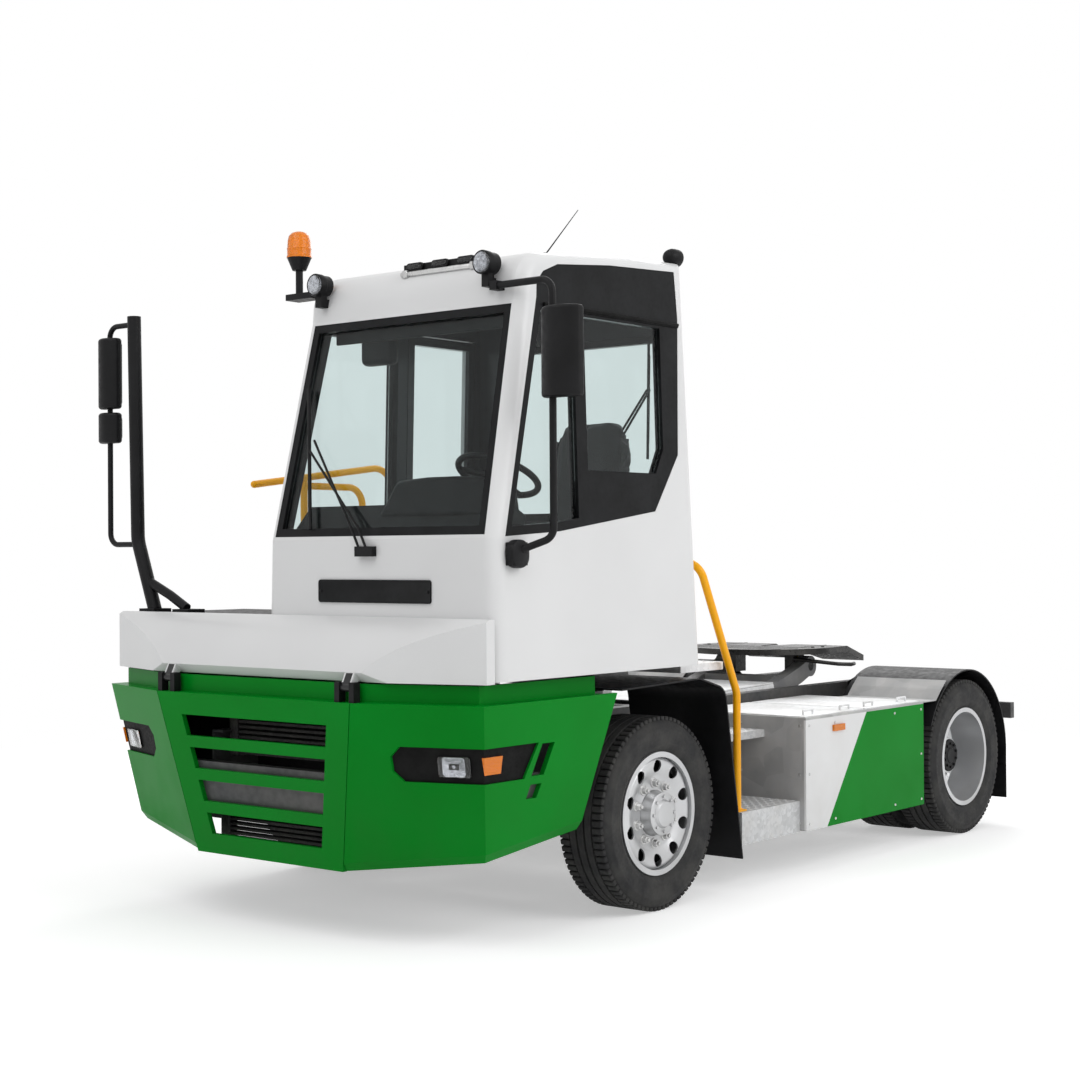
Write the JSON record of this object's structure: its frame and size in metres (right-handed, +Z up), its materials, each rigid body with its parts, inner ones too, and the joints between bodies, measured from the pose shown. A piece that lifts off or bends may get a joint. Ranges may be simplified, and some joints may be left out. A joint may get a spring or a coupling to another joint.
{
  "type": "terminal tractor",
  "caption": "Low yard tractor with a narrow tilting cab on the left, side battery boxes, twin rear wheels and a lifting fifth wheel for moving trailers.",
  "frame": {"origin": "on the ground under the middle of the vehicle's outline", "axes": "+X forward, +Y to the driver's left, +Z up"},
  "size_m": [5.49, 3.13, 3.32],
  "materials": {
    "green_paint": "gloss",
    "white_paint": "gloss",
    "frame_grey": "satin",
    "black_plastic": "matte",
    "dark_trim": "satin",
    "galvanised": "matte",
    "battery_case": "matte",
    "yellow_paint": "gloss",
    "wheel_silver": "satin",
    "tyre_rubber": "matte",
    "cast_steel": "rough",
    "arm_grey": "satin",
    "plate_black": "greased",
    "rod_chrome": "polished",
    "window_glass": "clear",
    "lamp_lens": "clear",
    "amber_lens": "gloss",
    "red_lens": "gloss",
    "seat_cloth": "woven"
  },
  "bodies": {
    "chassis": {"frame": "frame_grey", "front_axle": "frame_grey", "front_springs": "frame_grey", "rear_axle": "cast_steel", "drive_motor": "cast_steel", "battery_boxes": "battery_case", "battery_panels_white": "white_paint", "battery_panels_green": "green_paint", "bumper_center": "green_paint", "bumper_wings": "green_paint", "bumper_beam": "frame_grey", "lamp_housings": "black_plastic", "headlamps": "lamp_lens", "indicators": "amber_lens", "front_band": "green_paint", "cab_hinge": "black_plastic", "platform": "galvanised", "steps": "galvanised", "hand_rails": "yellow_paint", "front_fenders": "black_plastic", "rear_mudguards": "black_plastic", "tail_bar": "frame_grey", "tail_lamps": "red_lens"},
    "cab": {"cab_floor": "white_paint", "cab_roof": "white_paint", "cab_front": "white_paint", "cab_rear": "white_paint", "cab_side_left": "white_paint", "cab_side_right": "white_paint", "window_frames": "dark_trim", "cab_glass": "window_glass", "cowl": "white_paint", "side_hood": "black_plastic", "dashboard": "dark_trim", "steering_wheel": "dark_trim", "seat_base": "dark_trim", "seat_cushion": "seat_cloth", "seat_back": "seat_cloth", "mirror_left": "black_plastic", "mirror_right": "black_plastic", "roof_lamps": "black_plastic", "beacon": "amber_lens", "wipers": "black_plastic"},
    "door": {"cab_door": "white_paint", "door_glass": "window_glass"},
    "knuckle_left": {"knuckle_left": "cast_steel"},
    "knuckle_right": {"knuckle_right": "cast_steel"},
    "wheel_front_left": {"tyre_front_left": "tyre_rubber", "rim_front_left": "wheel_silver"},
    "wheel_front_right": {"tyre_front_right": "tyre_rubber", "rim_front_right": "wheel_silver"},
    "wheels_rear_left": {"tyres_rear_left": "tyre_rubber", "rims_rear_left": "wheel_silver"},
    "wheels_rear_right": {"tyres_rear_right": "tyre_rubber", "rims_rear_right": "wheel_silver"},
    "lift_arm": {"lift_arm": "arm_grey"},
    "fifth_wheel": {"fifth_wheel": "plate_black"},
    "lift_barrels": {"lift_barrels": "arm_grey"},
    "lift_rods": {"lift_rods": "rod_chrome"}
  },
  "joints": [
    {"name": "steer_left", "type": "hinge", "parent": "chassis", "child": "knuckle_left", "pos_m": [1.155, 0.95, 0.47], "axis": [0, 0, 1], "range_deg": [-40, 40]},
    {"name": "spin_front_left", "type": "hinge", "parent": "knuckle_left", "child": "wheel_front_left", "pos_m": [1.155, 1.037, 0.47], "axis": [0, 1, 0], "continuous": true},
    {"name": "spin_rear_left", "type": "hinge", "parent": "chassis", "child": "wheels_rear_left", "pos_m": [-1.975, 0.9275, 0.47], "axis": [0, 1, 0], "continuous": true},
    {"name": "steer_right", "type": "hinge", "parent": "chassis", "child": "knuckle_right", "pos_m": [1.155, -0.95, 0.47], "axis": [0, 0, 1], "range_deg": [-40, 40]},
    {"name": "spin_front_right", "type": "hinge", "parent": "knuckle_right", "child": "wheel_front_right", "pos_m": [1.155, -1.037, 0.47], "axis": [0, 1, 0], "continuous": true},
    {"name": "spin_rear_right", "type": "hinge", "parent": "chassis", "child": "wheels_rear_right", "pos_m": [-1.975, -0.9275, 0.47], "axis": [0, 1, 0], "continuous": true},
    {"name": "cab_tilt", "type": "hinge", "parent": "chassis", "child": "cab", "pos_m": [2.704, 0, 1.15], "axis": [0, 1, 0], "range_deg": [0, 45]},
    {"name": "door_swing", "type": "hinge", "parent": "cab", "child": "door", "pos_m": [1.548, -0.19913, 2], "axis": [0, 0.0303, 0.9995], "range_deg": [0, 90]},
    {"name": "coupling_lift", "type": "hinge", "parent": "chassis", "child": "lift_arm", "pos_m": [0.105, 0, 0.84], "axis": [0, 1, 0], "range_deg": [0, 14]},
    {"name": "coupling_tilt", "type": "hinge", "parent": "lift_arm", "child": "fifth_wheel", "pos_m": [-1.645, 0, 1.01], "axis": [0, 1, 0], "range_deg": [-12, 12]},
    {"name": "cylinder_swing", "type": "hinge", "parent": "chassis", "child": "lift_barrels", "pos_m": [-0.56, 0, 0.62], "axis": [0, 1, 0], "range_deg": [0, 22.95]},
    {"name": "cylinder_slide", "type": "slide", "parent": "lift_barrels", "child": "lift_rods", "axis": [-0.914, 0, 0.4057], "range_m": [0, 0.13449]}
  ],
  "couplings": [
    {"joint": "steer_right", "follows": "steer_left", "ratio": 1},
    {"joint": "cylinder_swing", "follows": "coupling_lift", "ratio": 1.639},
    {"joint": "cylinder_slide", "follows": "coupling_lift", "m_per_rad": 0.5504}
  ]
}
